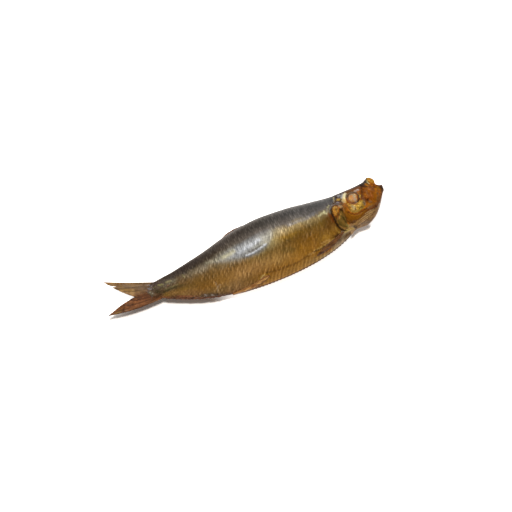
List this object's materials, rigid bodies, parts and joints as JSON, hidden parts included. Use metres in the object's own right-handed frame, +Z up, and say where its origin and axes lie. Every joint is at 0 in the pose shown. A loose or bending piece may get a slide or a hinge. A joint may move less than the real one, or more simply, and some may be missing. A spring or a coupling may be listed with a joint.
{
  "type": "smoked fish",
  "caption": "Whole smoked herring lying on its side, mouth slightly open, fins folded, forked tail; golden brown flank, dark back.",
  "frame": {"origin": "on the floor under the middle of the fish's bounding box, as it lies on its left side", "axes": "+X from the tail towards the head, +Y from the belly towards the back, +Z up through the flank"},
  "size_m": [0.2854, 0.0627, 0.0293],
  "materials": {
    "smoked_skin": "oily golden-brown skin with a dark grey back, semi-gloss"
  },
  "bodies": {
    "root": {"smoked_fish": "smoked_skin"}
  },
  "joints": []
}
